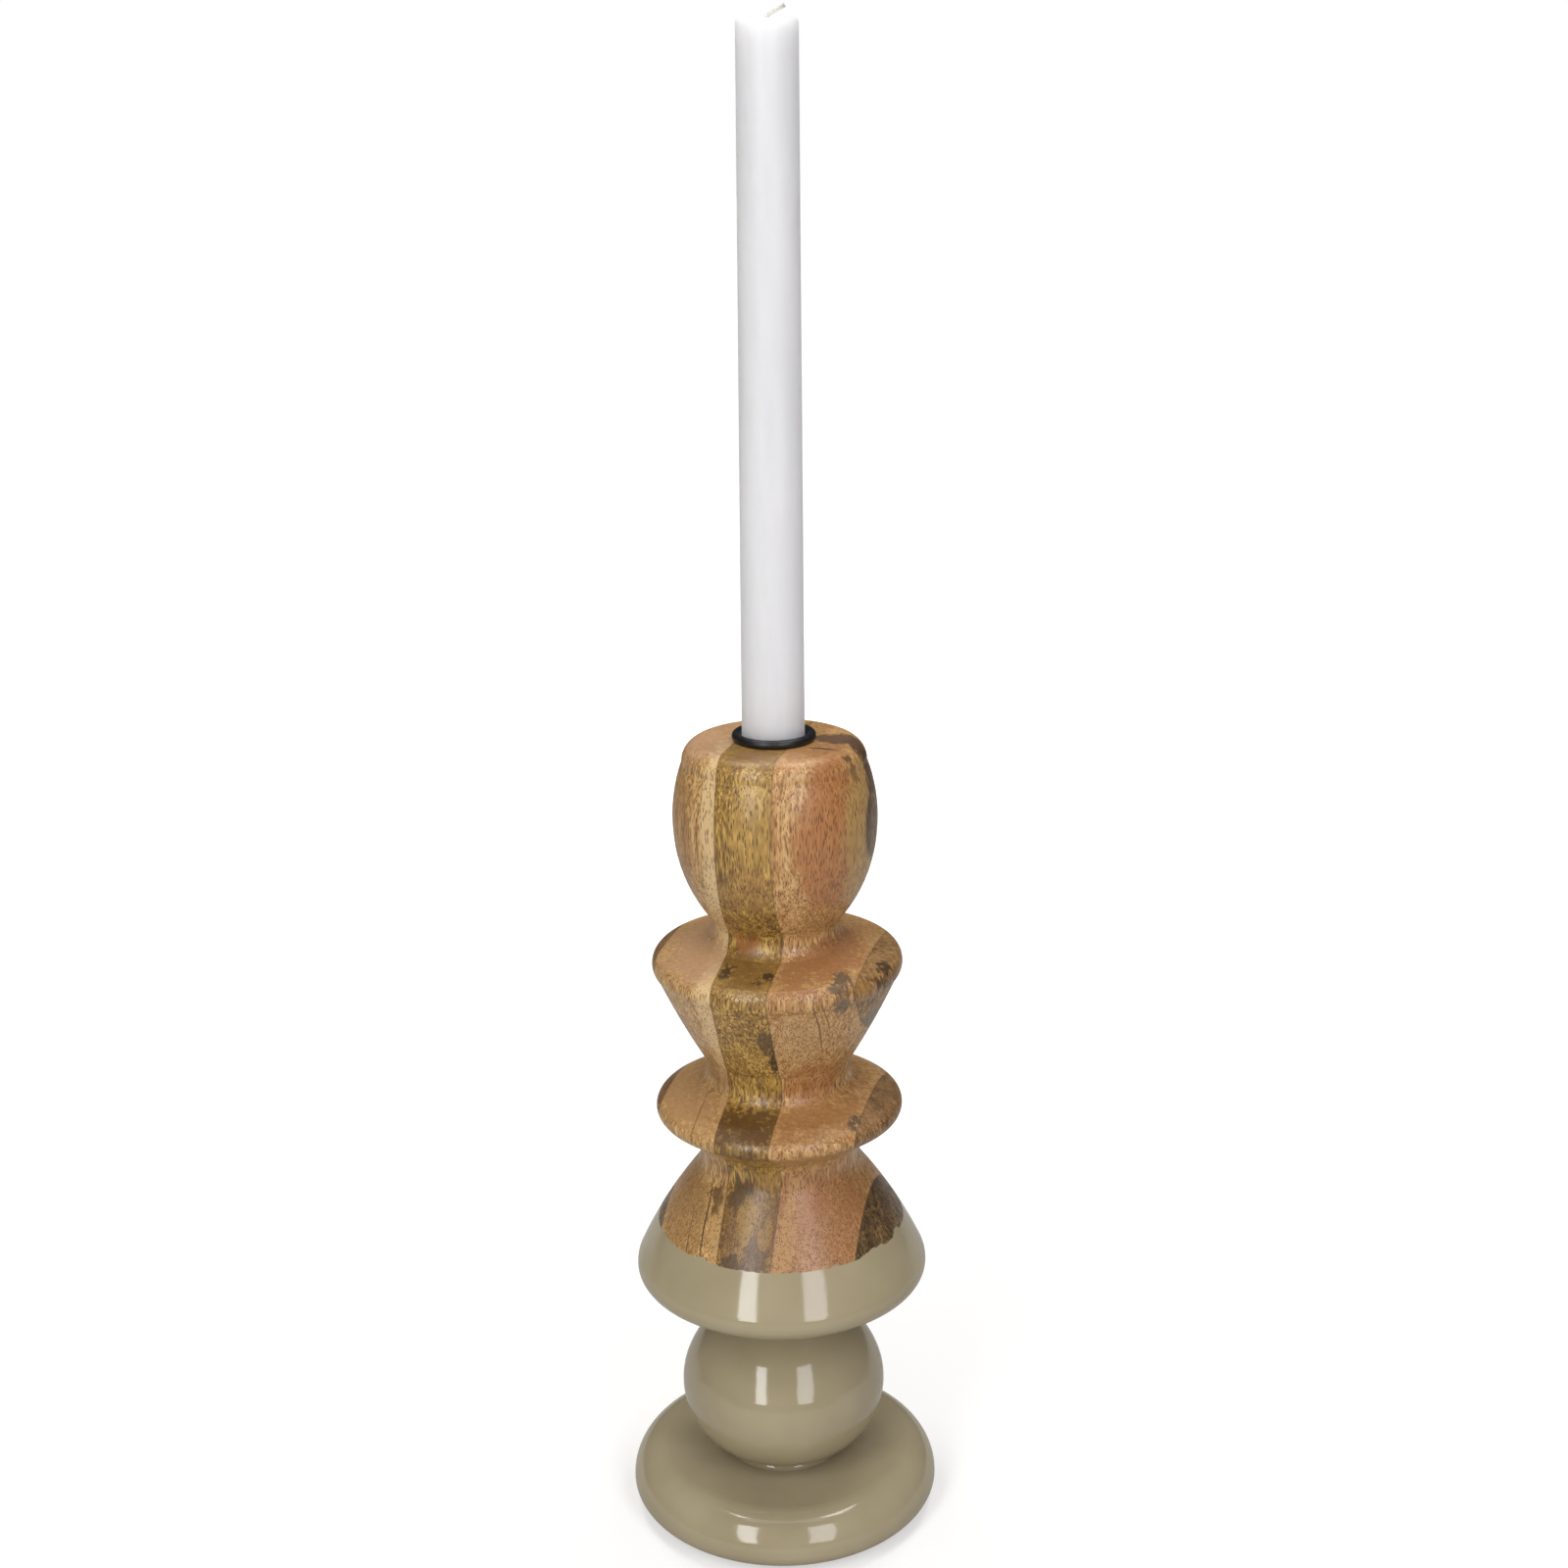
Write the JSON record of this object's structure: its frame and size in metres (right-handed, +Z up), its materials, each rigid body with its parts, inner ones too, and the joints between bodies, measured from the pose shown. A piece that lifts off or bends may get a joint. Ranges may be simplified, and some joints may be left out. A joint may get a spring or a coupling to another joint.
{
  "type": "candlestick",
  "caption": "Tall turned wooden candlestick of stacked bulb, disc, cone and ball shapes, glued from planks, with an enamelled foot, a metal cup and a tapered dinner candle.",
  "frame": {"origin": "centre of the underside, on the table", "axes": "+Z up along the turning axis, +X to the right and -Y to the front, as the stick is seen with its brown plank at the front"},
  "size_m": [0.1154, 0.1154, 0.5414],
  "materials": {
    "pale_wood": "satin varnish",
    "brown_wood": "satin varnish",
    "peach_wood": "satin varnish",
    "dark_wood": "satin varnish",
    "enamel": "gloss enamel paint",
    "black_metal": "satin black",
    "screw_steel": "zinc plated",
    "felt": "matte felt",
    "wax": "smooth satin wax",
    "wick": "braided cotton"
  },
  "bodies": {
    "stick": {"left_plank": "pale_wood", "brown_plank": "brown_wood", "right_plank": "peach_wood", "left_foot_block": "dark_wood", "left_cone_block": "dark_wood", "left_lower_disc_block": "dark_wood", "left_upper_disc_block": "dark_wood", "right_foot_block": "dark_wood", "right_ball_block": "dark_wood", "right_cone_block": "dark_wood", "right_lower_disc_block": "dark_wood", "right_upper_disc_block": "dark_wood", "right_bulb_block": "dark_wood", "enamel_coat": "enamel", "candle_cup": "black_metal", "cup_screw": "screw_steel", "felt_pad": "felt"},
    "candle": {"candle": "wax", "candle_wick": "wick"}
  },
  "joints": [
    {"name": "candle_lift", "type": "slide", "parent": "stick", "child": "candle", "axis": [0, 0, 1], "range_m": [0, 0.03]}
  ]
}
